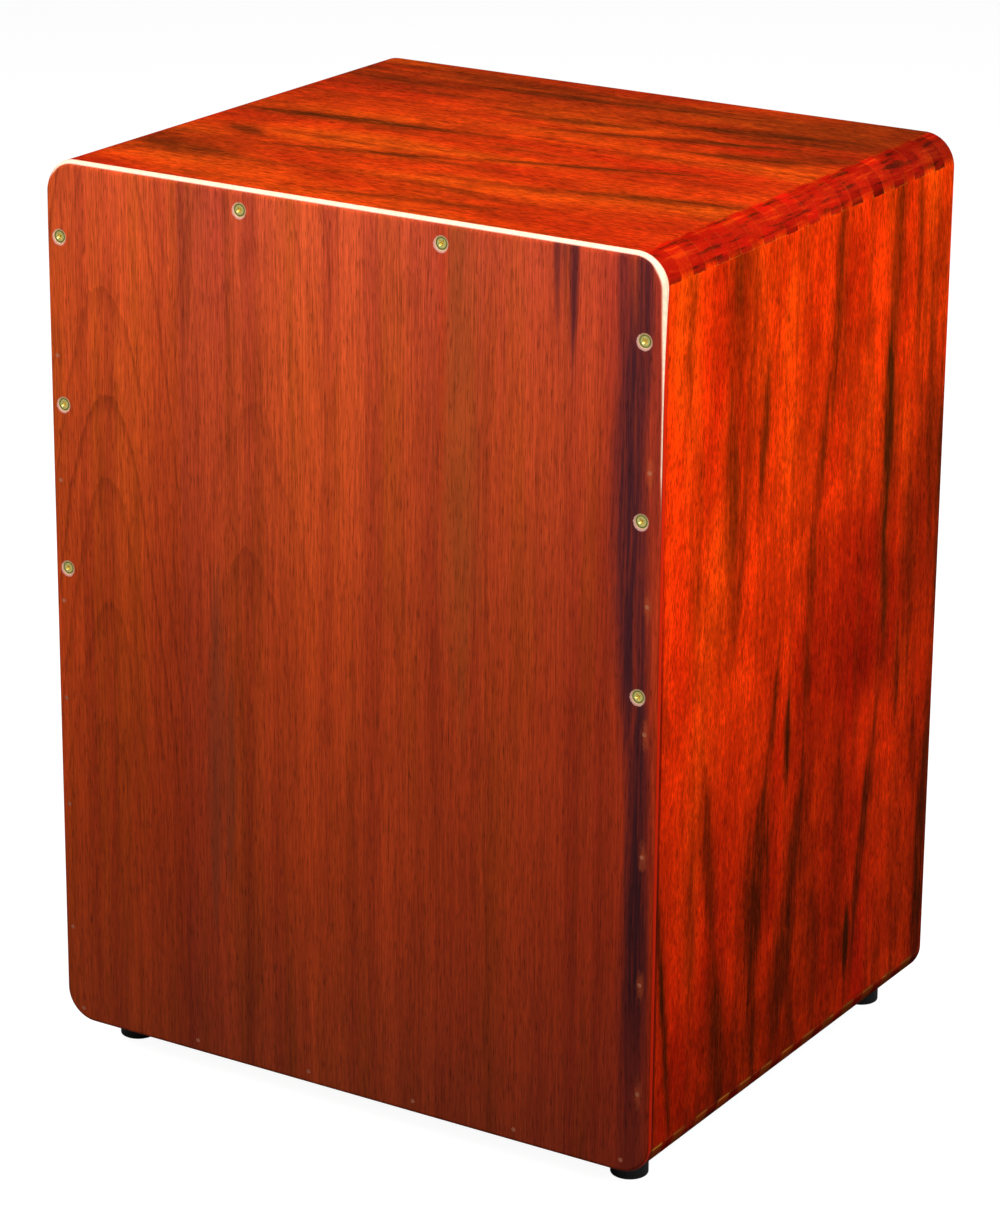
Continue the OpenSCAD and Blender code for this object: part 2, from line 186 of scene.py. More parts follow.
class Graph:
    """A material's node tree, with one short call for each kind of node that is used here."""

    def __init__(self, name):
        self.material = bpy.data.materials.new(name)
        self.material.use_nodes = True
        self.tree = self.material.node_tree
        self.tree.nodes.clear()
        self.output = self.node("ShaderNodeOutputMaterial")
        self.shader = self.node("ShaderNodeBsdfPrincipled")
        self.put(self.output.inputs["Surface"], Wire(self, self.shader.outputs[0]))
        place = self.made("ShaderNodeTexCoord", {}, "Object")
        self.place = self.scaled(place, 1 / MM)
        self.x, self.y, self.z = self.split(self.place)

    def node(self, kind, **settings):
        node = self.tree.nodes.new(kind)
        for key, value in settings.items():
            setattr(node, key, value)
        return node

    def put(self, socket, value):
        """Links a wire to a socket, or sets the socket to a plain value."""
        if isinstance(value, Wire):
            self.tree.links.new(value.socket, socket)
        else:
            socket.default_value = value

    def made(self, kind, inputs, output=0, **settings):
        """One output of a new node, with its inputs by name or number."""
        node = self.node(kind, **settings)
        for key, value in inputs.items():
            self.put(node.inputs[key], value)
        return Wire(self, node.outputs[output])

    def set(self, **values):
        """Sets the shader's own sockets, such as base_color or specular_tint."""
        for key, value in values.items():
            name = key.replace("_", " ").title().replace("Ior", "IOR")
            self.put(self.shader.inputs[name], value)

    def math(self, operation, a, b=0.0):
        return self.made("ShaderNodeMath", {0: a, 1: b}, operation=operation)

    def smaller(self, a, b):
        return self.math("MINIMUM", a, b)

    def larger(self, a, b):
        return self.math("MAXIMUM", a, b)

    def largest(self, values):
        return functools.reduce(self.larger, values)

    def fraction(self, a):
        return self.math("FRACT", a)

    def scaled(self, vector, factor):
        return self.made("ShaderNodeVectorMath", {0: vector, "Scale": factor}, operation="SCALE")

    def distance(self, a, b):
        return self.made("ShaderNodeVectorMath", {0: a, 1: b}, "Value", operation="DISTANCE")

    def split(self, vector):
        node = self.node("ShaderNodeSeparateXYZ")
        self.put(node.inputs[0], vector)
        return tuple(Wire(self, output) for output in node.outputs)

    def join(self, x, y, z):
        return self.made("ShaderNodeCombineXYZ", {0: x, 1: y, 2: z})

    def normal(self):
        """The three parts of the surface's normal."""
        return self.split(self.made("ShaderNodeNewGeometry", {}, "Normal"))

    def span(self, value, low, high, start=0.0, end=1.0, smooth=True):
        """value carried from low..high to start..end, and held at the ends."""
        return self.made("ShaderNodeMapRange", dict(enumerate((value, low, high, start, end))),
                         interpolation_type="SMOOTHSTEP" if smooth else "LINEAR")

    def fade(self, value, low, high):
        """1 below low, falling to 0 at high."""
        return self.span(value, low, high, 1.0, 0.0)

    def vary(self, pattern, low, high):
        """A factor from low to high, out of a noise pattern."""
        return self.span(pattern, 0.3, 0.7, low, high)

    def with_height(self, low, high, smooth=True):
        """A factor from low at the body's bottom to high at its top."""
        return self.span(self.z, BOTTOM / MM, TOP / MM, low, high, smooth)

    def noise(self, vector, scale=1.0, detail=2.0, roughness=0.5, distortion=0.0):
        return self.made("ShaderNodeTexNoise", {
            "Vector": vector, "Scale": scale, "Detail": detail, "Roughness": roughness,
            "Distortion": distortion})

    def ramp(self, value, stops):
        """stops are (place, colour); the colours run straight from one to the next."""
        node = self.node("ShaderNodeValToRGB")
        elements = node.color_ramp.elements
        while len(elements) < len(stops):
            elements.new(0.5)
        for element, (place, shade) in zip(elements, stops):
            element.position = place
            element.color = shade
        self.put(node.inputs[0], value)
        return Wire(self, node.outputs[0])

    def mix(self, factor, a, b, blend="MIX"):
        inputs = {"Factor": factor, 6: a, 7: b}
        return self.made("ShaderNodeMix", inputs, 2, data_type="RGBA", blend_type=blend)

    def multiplied(self, tint, other):
        return self.mix(1.0, tint, other, "MULTIPLY")

    def shade(self, tint, factor):
        """tint made lighter or darker by a number."""
        if isinstance(tint, tuple):
            tint = tint[:3]
        return self.scaled(tint, factor)

    def bump(self, height, distance, strength=1.0):
        """Bumps the surface; distance is in millimetres."""
        inputs = {"Height": height, "Distance": distance * MM, "Strength": strength}
        self.put(self.shader.inputs["Normal"], self.made("ShaderNodeBump", inputs))


def grain_space(g, across, depth, along, wander, seed):
    """(across, depth, along) in millimetres, with the across moved to and fro as grain wanders."""
    slow = g.noise(g.join(across * 0.012, depth * 0.012 + seed, along * 0.004), detail=1.0)
    quick = g.noise(g.join(across * 0.06, depth * 0.06 + seed, along * 0.014))
    moved = across + (slow - 0.5) * wander
    return moved + (quick - 0.5) * (wander * 0.25), depth, along


def fibres(g, space, width, length, detail=2.0, roughness=0.5):
    """Noise drawn out along the grain: width across and length along, in millimetres."""
    across, depth, along = space
    return g.noise(g.join(across / width, depth / width, along / length), detail=detail, roughness=roughness)


def ragged(g, space):
    """Noise that frays the edges of the streaks."""
    wide = fibres(g, space, 4.0, 60, detail=3.0, roughness=0.65)
    fine = fibres(g, space, 1.2, 14)
    return (wide - 0.5) * 2.6 + (fine - 0.5) * 1.1


def streak_offset(g, space, fray, x_start, y_start, x_end, y_end, half_width):
    """Distance from a streak's line, in half widths, with more added towards both of its ends."""
    across, _, along = space
    share = g.span(along, y_start, y_end, smooth=False)
    centre = share * (x_end - x_start) + x_start
    off = abs(across - centre) / half_width + fray * 0.6
    ends = share * 2.0 - 1.0
    return off + ends * ends * 1.5


def streak(g, space, fray, *line, strength):
    """Mask of one dark streak. line is where it starts, where it ends, and half its width."""
    off = streak_offset(g, space, fray, *line)
    return g.span(off, 0.3, 1.5, strength, 0.0)


def haloed_streak(g, space, fray, *line, strength):
    """A streak's mask, and that of the wide pale halo round it."""
    off = streak_offset(g, space, fray, *line)
    return g.span(off, 0.3, 1.35, strength, 0.0), g.span(off, 0.6, 2.8, strength, 0.0)


def patch(g, space, fray, x, y, radius_x, radius_y):
    """Mask of a soft oval patch."""
    across, _, along = space
    x = (across - x) / radius_x
    y = (along - y) / radius_y
    off = g.math("SQRT", x * x + y * y)
    return g.fade(off + fray * 0.16, 0.35, 1.15)


# ---- wood ----
#
# Places on a board or on the tapa are in millimetres, as x across the grain and y along it. They
# were set one by one.

BOARD_ORANGE = colour(250, 60, 6)
BOARD_RED = colour(222, 40, 5)
BOARD_BROWN = colour(156, 44, 5)
BOARD_DARK = colour(80, 32, 3)
BOARD_LIGHT = colour(255, 78, 8)
DEEP_RED = colour(164, 22, 3)
DARK_BROWN = colour(132, 36, 4)

# Dark streaks: x and y where one starts, x and y where it ends, half its width, and its strength
SIDE_STREAKS = [
    (-76, 560, -78, 370, 17, 0.45), (-62, 470, -70, 330, 8, 0.4), (-86, 450, -79, 255, 7, 0.6),
    (-46, 440, -55, 335, 4, 0.7), (-68, 395, -78, 265, 5, 0.5), (31, 540, 23, 350, 4.5, 0.55),
    (24, 420, 6, 290, 4.5, 0.6), (9, 350, 2, 245, 6, 0.55), (3, 310, 0, 190, 4.5, 0.45),
    (96, 540, 86, 360, 8, 0.6), (86, 440, 85, 255, 6, 1), (84, 320, 93, 215, 4.5, 0.75),
    (117, 520, 120, 330, 3.5, 0.45), (134, 450, 141, 240, 6, 0.5), (150, 400, 150, 200, 4.5, 0.7),
    (112, 350, 122, 180, 6, 0.45), (-28, 280, -42, 160, 3.5, 0.65), (-17, 245, -18, 170, 3.2, 0.9),
    (-38, 220, -52, 60, 11.5, 0.78), (-48, 120, -45, 10, 6, 0.65), (5, 200, -14, 90, 9.5, 0.7),
    (-4, 150, -26, 20, 12, 0.72), (0, 220, 4, 110, 3.5, 0.6), (-106, 240, -88, 90, 6, 0.6),
    (-92, 140, -76, 0, 9, 0.7), (-155, 210, -127, 5, 3, 0.85), (-116, 200, -112, 70, 4.5, 0.4),
    (90, 220, 60, 30, 6, 0.75), (59, 98, 57, 42, 5, 1), (42, 220, 45, 20, 9, 0.4),
    (108, 245, 110, 175, 3.5, 0.65), (150, 215, 146, -10, 9, 0.8), (130, 200, 137, 110, 5, 0.5),
    (16, 135, 24, 10, 7, 0.5), (-12, 90, 6, 5, 5, 0.5),
]
# Soft patches: x and y of the centre, the two radii, the colour and its share
SIDE_PATCHES = [
    # The deep red patch at 66, 262 is painted shade: the darker side of the figure's chatoyant sheen.
    (66, 262, 70, 90, DEEP_RED, 0.75), (30, 120, 42, 130, DEEP_RED, 0.5),
    (-100, 50, 50, 50, DARK_BROWN, 0.45), (130, 120, 40, 110, DEEP_RED, 0.25),
    (82, 178, 34, 45, BOARD_ORANGE, 0.75), (-14, 330, 34, 70, BOARD_ORANGE, 0.3),
    (-66, 220, 44, 120, BOARD_ORANGE, 0.6), (-50, 90, 30, 60, BOARD_ORANGE, 0.35),
    (138, 290, 34, 110, DARK_BROWN, 0.6), (122, 430, 50, 60, DARK_BROWN, 0.15),
    (-45, 30, 65, 50, DARK_BROWN, 0.45), (40, 420, 26, 90, DARK_BROWN, 0.25),
    (-137, 190, 18, 130, BOARD_ORANGE, 0.6), (-60, 330, 22, 90, BOARD_ORANGE, 0.5),
    (2, 380, 26, 60, DARK_BROWN, 0.35), (6, 215, 28, 55, DEEP_RED, 0.5),
    (66, 445, 20, 60, BOARD_ORANGE, 0.45),
]
SEAT_STREAKS = [
    (-2, -185, 14, 0, 5.5, 0.75), (-68, -115, -34, 25, 4.2, 0.55), (-38, -15, 0, 135, 3.6, 0.6),
    (112, -130, 118, 40, 6, 0.6), (116, -60, 122, 90, 3.5, 0.5), (86, 20, 108, 165, 7, 0.6),
    (80, 60, 96, 175, 5, 0.5), (40, -15, 82, 155, 4.6, 0.65), (36, 70, 54, 175, 6, 0.65),
    (46, 100, 66, 180, 4, 0.5), (-74, 50, -46, 195, 5, 0.6), (-84, -200, -100, -80, 11, 0.45),
    (-108, -180, -100, -60, 6, 0.35), (-38, -152, -54, -116, 7, 0.6), (-137, -50, -115, 80, 5, 0.4),
    (58, -50, 76, 50, 5, 0.55), (106, -200, 100, -70, 10, 0.4), (136, -160, 130, 20, 8, 0.4),
]
SEAT_PATCHES = [
    (112, -40, 46, 150, DARK_BROWN, 0.3), (122, 150, 56, 90, DARK_BROWN, 0.6),
    (-85, -140, 40, 60, DARK_BROWN, 0.35), (52, -118, 28, 60, BOARD_ORANGE, 0.5),
    (-20, 120, 46, 60, BOARD_RED, 0.4), (10, -150, 60, 40, DARK_BROWN, 0.25),
    (-112, 130, 46, 90, BOARD_RED, 0.7), (-122, -95, 34, 70, BOARD_LIGHT, 0.5),
]


def glue_lines(g, finger, side_of_x, side_of_z):
    """Mask of the thin lines round the fingers of a corner joint.

    finger counts the fingers from the front, with fractions. side_of_x and side_of_z are how far a
    point is inside the joint, in millimetres.
    """
    joint = g.smaller(side_of_x, side_of_z)
    inside = g.span(joint, -0.05, 0.05)
    part = g.fraction(finger)
    edge = g.smaller(part, 1 - part)
    across = g.fade(edge, 0.012, 0.03)
    along = g.fade(joint, 0.15, 0.4)
    low = g.span(g.z, 40, 30) * g.fade(joint, 0.9, 1.5)
    low = low * g.fade(g.fraction(finger * 0.5), 0.48, 0.52)
    worn = g.span(g.noise(g.place, scale=0.35), 0.42, 0.6)
    thin = g.larger(across, along) * (worn * 0.4)
    patchy = g.span(g.noise(g.join(g.y * 0.045, 0, 7), detail=1), 0.42, 0.6, 0.05, 0.7)
    patchy = g.larger(patchy, g.span(g.y, -130, -120, 0.9, 0))
    return inside * g.larger(thin, low * patchy)


def figured_wood(g, space, streaks, patches, seed):
    """Colour of the stained, figured boards, and the height of their pores."""
    across, depth, along = space
    hue = fibres(g, space, 46, 190, detail=3)
    tint = g.ramp(hue, [(0.34, BOARD_LIGHT), (0.5, BOARD_ORANGE), (0.64, BOARD_RED)])
    zones = fibres(g, space, 15, 120, detail=4, roughness=0.62)
    soft_dark = g.span(zones, 0.46, 0.7, 0, 0.8)
    fray = ragged(g, space)
    tint = g.mix(soft_dark, tint, BOARD_BROWN)
    for *oval, shade, share in patches:
        tint = g.mix(patch(g, space, fray, *oval) * share, tint, shade)
    pairs = [haloed_streak(g, space, fray, *line, strength=strength) for *line, strength in streaks]
    drawn = g.largest([core for core, _ in pairs])
    halo = g.largest([wide for _, wide in pairs])
    broken = g.span(fibres(g, space, 1.8, 32, detail=3, roughness=0.6), 0.34, 0.58, 0.5, 1)
    drawn = drawn * (broken * 1.15)
    tint = g.mix(halo * 0.8, tint, BOARD_BROWN)
    tint = g.mix(drawn, tint, BOARD_DARK)

    # Ripples of the curly figure: partly the wood's own figure, partly its chatoyant sheen painted in.
    waves = g.join(across * 0.03, depth * 0.03 + (seed + 7), along * 0.035)
    figure_and_sheen_ripple = g.noise(waves, detail=3, roughness=0.6, distortion=0.5)
    figure_and_sheen_ripple = g.span(figure_and_sheen_ripple, 0.3, 0.72, 0.86, 1.16)
    mottle = g.span(fibres(g, space, 2.4, 12, detail=3, roughness=0.65), 0.28, 0.72, 0.76, 1.22)
    fine = g.span(fibres(g, space, 0.8, 4), 0.28, 0.72, 0.72, 1.28)
    pores = g.span(fibres(g, space, 0.9, 6, detail=1), 0.58, 0.7)
    value = figure_and_sheen_ripple * mottle * fine * (1 - pores * 0.4)
    return g.shade(tint, value), pores


END_GRAIN = colour(128, 17, 5)
EDGE_ORANGE = colour(198, 46, 4)
EDGE_RED = colour(168, 14, 3)
EDGE_DARK = colour(72, 12, 3)
GLUE = colour(212, 128, 40)
SHADED_EDGE = colour(72, 14, 3)
TAN_END = colour(128, 62, 12)
RAW_WOOD = colour(206, 160, 112)


def board(name, axis, streaks, patches, seed):
    """Stained and lacquered board. axis is the way of its grain, "x" or "z"."""
    g = Graph(name)
    along = g.x if axis == "x" else g.z
    depth = g.z if axis == "x" else g.x
    space = grain_space(g, g.y, depth, along, 12, seed)
    tint, pores = figured_wood(g, space, streaks, patches, seed)

    normal_x, _, normal_z = g.normal()
    ends_on = abs(normal_x if axis == "x" else normal_z)
    end = g.span(ends_on, 0.72, 0.96)
    end_pattern = g.vary(g.noise(g.place, scale=0.45, detail=4, roughness=0.7), 0.55, 1.5)
    count = (g.y - SHELL_FRONT_Y / MM) * (MM / FINGER_W)
    finger = g.math("FLOOR", count)
    finger_tone = g.vary(g.noise(g.join(finger * 3.7, seed, 0), detail=0), 0.3, 2.2)
    end_tint = g.shade(END_GRAIN, end_pattern * finger_tone)
    tint = g.mix(end * 0.85, tint, end_tint)

    # Painted shade: the side boards darker and browner towards the bottom, the seat and base boards darker
    # towards the rear.
    if axis == "z":
        painted_shade_ramp = g.ramp(g.with_height(0, 1, smooth=False), [
            (0, (0.48, 0.36, 0.2, 1)), (0.3, (0.64, 0.46, 0.24, 1)),
            (0.62, (0.9, 0.74, 0.4, 1)), (1, (1.04, 1, 0.5, 1))])
    else:
        painted_shade_ramp = g.ramp(g.span(g.y, FRONT_Y / MM, REAR_Y / MM, smooth=False), [
            (0, (0.56, 0.74, 0.8, 1)), (0.6, (0.6, 0.8, 0.8, 1)), (1, (0.42, 0.54, 0.7, 1))])
    tint = g.multiplied(tint, painted_shade_ramp)

    round_x = g.span(abs(normal_x), 0.03, 0.28)
    round_z = g.span(abs(normal_z), 0.08, 0.4)
    rounded = round_x * round_z
    turn = g.math("ARCTAN2", normal_x, normal_z)
    slant = g.y * 0.03 - turn * 0.5
    bands = g.noise(g.join(slant, turn * 4.5, 0), detail=4, roughness=0.62)
    deep_red = g.ramp(bands, [(0.38, EDGE_DARK), (0.47, EDGE_RED), (0.54, EDGE_RED), (0.64, EDGE_ORANGE)])
    # Painted shade: the rounded strip darker towards the bottom; it also darkens towards the rear.
    deep_red = g.shade(deep_red, g.span(g.z, 26, 90, 0.4, 1))
    deep_red = g.shade(deep_red, g.span(g.y, 40, 150, 0.9, 0.44))
    deep_red = g.shade(deep_red, 1 + (finger_tone - 1) * (end * 0.5))
    tint = g.mix(rounded * 0.85, tint, deep_red)

    far_x = abs(g.x) - INNER_X / MM
    mid_z = (INNER_TOP + INNER_BOTTOM) / 2 / MM
    half_z = (INNER_TOP - INNER_BOTTOM) / 2 / MM
    far_z = abs(g.z - mid_z) - half_z
    lines = glue_lines(g, count, far_x, far_z)
    even = g.fade(g.fraction(finger * 0.5), 0.2, 0.3)
    low_joint = g.span(g.z, 31, 29) * g.span(abs(g.x), 169, 170)
    tint = g.mix(even * low_joint * 0.5, tint, TAN_END)
    lines = lines * g.span(rounded, 0, 1, 1, 0.25)
    tint = g.mix(lines, tint, GLUE)

    front = g.fade(g.y, SHELL_FRONT_Y / MM + 1.2, SHELL_FRONT_Y / MM + 2.4) * g.span(g.z, 360, 260)
    tint = g.mix(front * 0.75, tint, SHADED_EDGE)

    bare = g.fade(g.larger(far_x, far_z), 0.1, 0.5)
    raw = g.shade(RAW_WOOD, g.span(fibres(g, space, 1.2, 40), 0.25, 0.75, 0.7, 1.1))
    gloss = g.span(pores, 0, 1, 0.28, 0.45) + rounded * 0.4
    g.set(base_color=g.mix(bare, tint, raw), roughness=gloss,
          specular_ior_level=0.005, specular_tint=(1, 0.12, 0.03, 1))
    g.bump(pores * -0.6 + g.noise(g.place, scale=0.05, detail=1), 0.05, 0.35)
    return g.material


TAPA_STREAKS = [
    (127, 760, 127.5, 440, 9, 1), (132.5, 600, 133, 410, 3.4, 0.9), (123, 600, 124, 435, 3, 0.8),
    (160, 700, 161, 330, 4.5, 0.7), (172.5, 720, 172, 300, 6.5, 0.95), (165, 540, 168, 190, 10.5, 1),
    (160, 480, 163, 280, 4.5, 0.9), (174, 500, 174.5, -420, 8.5, 1), (168.5, 330, 169.5, 60, 3, 0.8),
    (168, 180, 168.5, -60, 2.4, 0.6),
]
TAPA_DARK = colour(58, 22, 26)
TAPA_OLIVE = colour(122, 66, 22)
TAPA_GREY = colour(112, 52, 30)
# Pale colour of the painted highlight on the tapa's edge.
HIGHLIGHT_CREAM = colour(246, 226, 194)


def arches(g, space, centre, curve, period, seed):
    """Nested arches of the growth rings: each starts at a soft dark line and pales downward."""
    across, _, along = space
    off = abs(across - centre)
    drop = g.math("POWER", off, 1.8) * curve
    wobble = g.noise(g.join(across * 0.018, seed, along * 0.009), detail=1)
    jitter = fibres(g, space, 3, 12)
    height = (along + drop) + (wobble * 90 + jitter * 13)
    ring = height / period
    part = g.fraction(ring)
    strength = g.noise(g.join(g.math("FLOOR", ring) * 5.3, seed, 0), detail=0)
    line = g.span(part, 0.72, 0.985) * g.fade(part, 0.985, 1)
    return line * g.span(strength, 0.35, 0.6, 0.3, 1)


def veneer_colour(g):
    """Colour and pores of the tapa's satin veneer, darker towards the bottom as painted shade."""
    space = grain_space(g, g.x, g.y, g.z, 5, 3)
    # Painted shade: the veneer darker towards the bottom.
    tint = g.ramp(g.with_height(0, 1, smooth=False), [
        (0, colour(124, 42, 16)), (0.25, colour(146, 47, 15)), (0.5, colour(166, 56, 20)),
        (0.8, colour(192, 72, 32)), (1, colour(204, 78, 44))])
    across = g.ramp(g.span(g.x, -184, 184, smooth=False), [
        (0, (1.14, 1.14, 0.8, 1)), (0.223, (1.08, 1.08, 0.78, 1)), (0.227, (0.92, 0.88, 1.05, 1)),
        (0.33, (0.98, 0.98, 1, 1)), (0.44, (1.16, 1.2, 1, 1)), (0.58, (1, 1, 0.95, 1)),
        (0.8, (0.96, 0.9, 0.9, 1)), (1, (0.88, 0.64, 0.75, 1))])
    tint = g.multiplied(tint, across)

    stripes = fibres(g, space, 11, 700)
    violet = g.span(stripes, 0.44, 0.68, 0, 0.6)
    tint = g.mix(violet, tint, g.multiplied(tint, (0.7, 0.6, 0.85, 1)))
    brown = g.span(fibres(g, space, 19, 420, detail=3, roughness=0.6), 0.48, 0.66, 0, 0.8)
    tint = g.mix(brown, tint, g.multiplied(tint, (0.82, 0.96, 0.62, 1)))
    broad = g.vary(fibres(g, space, 34, 900), 0.95, 1.15)
    bands = g.vary(fibres(g, space, 6, 180, detail=3), 0.93, 1.07)
    lines = g.vary(fibres(g, space, 0.8, 34), 0.83, 1.18)
    cracks = g.span(fibres(g, space, 1.2, 60, detail=3, roughness=0.65), 0.56, 0.74)
    fine = g.vary(fibres(g, space, 0.6, 9), 0.86, 1.12)
    value = broad * bands * lines * (1 - cracks * 0.36) * fine

    left = g.span(g.x, -100.5, -102) * g.span(g.z, 110, 240)
    centre = g.span(g.x, -102, -100.5) * g.fade(g.x, -22, 4) * g.span(g.z, 200, 320)
    rings = g.larger(arches(g, space, -150, 0.22, 62, 1) * left,
                     arches(g, space, -58, 0.15, 88, 5) * (centre * 0.7))
    tint = g.shade(tint, value * (1 - rings * 0.32))

    fray = ragged(g, space)
    olive = g.larger(streak(g, space, fray, 66, 580, 72, 200, 13, strength=0.42),
                     streak(g, space, fray, 74, 420, 70, 300, 5, strength=0.5))
    # The olive streak here and the grey one below are darker towards the bottom: painted shade.
    tint = g.mix(olive, tint, g.shade(TAPA_OLIVE, g.span(g.z, 60, 420, 0.7, 1)))
    red = streak(g, space, fray, 60, 620, 59, 290, 3.2, strength=0.55)
    tint = g.mix(red, tint, g.multiplied(tint, (1.08, 0.66, 0.7, 1)))
    grey = g.larger(streak(g, space, fray, -78, 320, -83, 60, 6, strength=0.5),
                    streak(g, space, fray, -70, 260, -74, 90, 3.5, strength=0.45))
    tint = g.mix(grey, tint, g.shade(TAPA_GREY, g.span(g.z, 60, 420, 0.75, 1)))
    masks = [streak(g, space, fray * 0.45, *line, strength=strength) for *line, strength in TAPA_STREAKS]
    edge_dusk = g.span(g.x, 152, 163, 0, 0.4) * g.span(g.z, 300, 400)
    dark = g.largest(masks + [edge_dusk])
    broken = g.span(fibres(g, space, 1.6, 60, detail=3, roughness=0.65), 0.3, 0.56, 0.72, 1)
    shadow = g.span(g.z, 60, 420, 0.55, 1.5)
    dark = dark * g.span(g.z, 30, 130, 0.45, 1)
    tint = g.mix(dark * broken, tint, g.shade(TAPA_DARK, shadow))
    pores = g.span(fibres(g, space, 0.55, 8, detail=1), 0.58, 0.68)
    return g.shade(tint, 1 - pores * 0.38), pores


def screw_chips(g):
    """Mask of the pale ring, widest at the lower left, where each countersink broke the stain."""
    masks = []
    rough = (g.noise(g.place, scale=0.9) - 0.5) * 0.9
    for name in SCREWS:
        centre = middle(name) / MM
        spot = g.distance(g.place, (centre.x, FRONT_Y / MM, centre.z))
        lower = g.distance(g.place, (centre.x - 0.4, FRONT_Y / MM, centre.z - 0.6))
        masks.append(g.span(spot, 3.95, 4.1, 0.6, 0))
        masks.append(g.span(lower + rough, 4, 4.5, 0.8, 0))
    return g.largest(masks)


def brad_smudges(g):
    """Mask of the tall smudges round the brads of the right edge, where the stain was rubbed off."""
    fray = g.noise(g.join(g.x * 0.6, 0, g.z * 0.22), detail=3, roughness=0.75)
    masks = []
    for centre, _ in islands(BRADS):
        if centre.x < INNER_X or centre.z < BOTTOM + 25 * MM:
            continue
        across = (g.x - (centre.x / MM + 0.4)) / 2.2
        along = (g.z - centre.z / MM) / 8
        off = g.math("SQRT", across * across + along * along)
        masks.append(g.span(off + (fray - 0.5) * 2.4, 0.2, 1.3, 0.62, 0))
    return g.largest(masks)


def tapa_face():
    g = Graph("tapa_veneer")
    tint, pores = veneer_colour(g)
    # Colour of the rubbed smudges, darker towards the bottom: painted shade.
    rubbed = g.shade(colour(186, 78, 40), g.with_height(0.55, 1))
    tint = g.mix(brad_smudges(g), tint, rubbed)
    tint = g.mix(screw_chips(g), tint, colour(226, 172, 158))
    scuffs = g.span(g.noise(g.place, scale=0.02, detail=4, roughness=0.7), 0.3, 0.75, 0.42, 0.56)
    g.set(base_color=tint, roughness=scuffs, specular_ior_level=0.08)
    g.bump(pores * -1 + g.noise(g.place, scale=0.03, detail=1), 0.04, 0.4)
    return g.material


def tapa_edge():
    """Edge of the tapa: a painted highlight along the top and the upper right, a pale cream band with pink
    fringes and a ply line drawn in it; stained red lower down, darker towards the bottom as painted shade.
    """
    g = Graph("tapa_edge")
    veneer, _ = veneer_colour(g)
    # Painted highlight: a pale cream band along the top and down the upper right, with pink fringes; bare is
    # its mask.
    highlight_jitter = (g.noise(g.place, scale=0.08, detail=3) - 0.5) * 30
    deep = g.y - FRONT_Y / MM
    rise = g.span(g.z, 415, 492, smooth=False)
    reach = rise * rise * 2.8 + 0.8
    shallow = g.fade(deep - reach, -0.25, 0.1)
    right = g.span(g.z + highlight_jitter, 340, 400) * shallow
    left = g.span(g.z + highlight_jitter * 0.3, 483, 493)
    bare = g.mix(g.span(g.x, -60, -40), left, right)
    highlight_cream = g.shade(HIGHLIGHT_CREAM, g.vary(g.noise(g.place, scale=0.4, detail=3), 0.86, 1.04))
    ply = g.span(abs(deep - 1.9), 0.1, 0.3, 0.35, 0)
    highlight_cream = g.mix(ply, highlight_cream, colour(214, 150, 110))
    # Red stain of the edge, darker towards the bottom: painted shade.
    stained = g.shade(colour(218, 38, 6), g.with_height(0.62, 1))
    # Painted shade: the veneer darker where the edge turns away from the front.
    painted_turn_shade = g.span(abs(g.normal()[1]), 0.2, 0.95, 0.42, 1)
    veneer = g.shade(veneer, painted_turn_shade)
    core = g.mix(bare, stained, highlight_cream)
    outer = deep - g.span(g.z, 488, 493) * 0.3 + (bare - 1) * 0.6
    fringe = g.span(outer, 0.12, 0.34)
    highlight_pink = g.mix(bare, veneer, colour(232, 150, 128))
    tint = g.mix(g.span(outer, 0.3, 0.55), highlight_pink, core)
    # Pink inner fringe of the painted highlight.
    tint = g.mix(g.span(deep, 2.3, 2.9) * (bare * 0.7), tint, colour(226, 120, 96))
    tint = g.mix(fringe, veneer, tint)
    # Painted shade: a dark line at the back of the edge, for the seam against the side board.
    back = g.span(deep, 3, 3.2)
    tint = g.mix(back * 0.85, tint, colour(84, 10, 6))
    g.set(base_color=tint, roughness=0.42, specular_ior_level=0.03)
    g.bump(g.noise(g.place, scale=0.6), 0.04, 0.4)
    return g.material


def raw_wood(name, axis, base, seed):
    """Plain sawn wood, with its grain along "x", "y" or "z"."""
    g = Graph(name)
    others = {"x": (g.y, g.z, g.x), "y": (g.x, g.z, g.y), "z": (g.x, g.y, g.z)}[axis]
    space = grain_space(g, *others, 8, seed)
    bands = g.vary(fibres(g, space, 7, 200, detail=3), 0.78, 1.1)
    value = bands * g.vary(fibres(g, space, 0.9, 22), 0.86, 1.08)
    saw = fibres(g, others, 1 / 0.3, 1 / 0.9)
    g.set(base_color=g.shade(base, value), roughness=0.75, specular_ior_level=0.25)
    g.bump(saw * 0.5 + value, 0.08, 0.5)
    return g.material


def bare_ply(name, base):
    """Raw plywood, with its grain upright."""
    g = Graph(name)
    space = grain_space(g, g.x, g.y, g.z, 8, 9)
    bands = g.vary(fibres(g, space, 16, 300, detail=3), 0.8, 1.1)
    value = bands * g.vary(fibres(g, space, 1, 40), 0.88, 1.06)
    g.set(base_color=g.shade(base, value), roughness=0.7, specular_ior_level=0.25)
    g.bump(value, 0.05, 0.5)
    return g.material


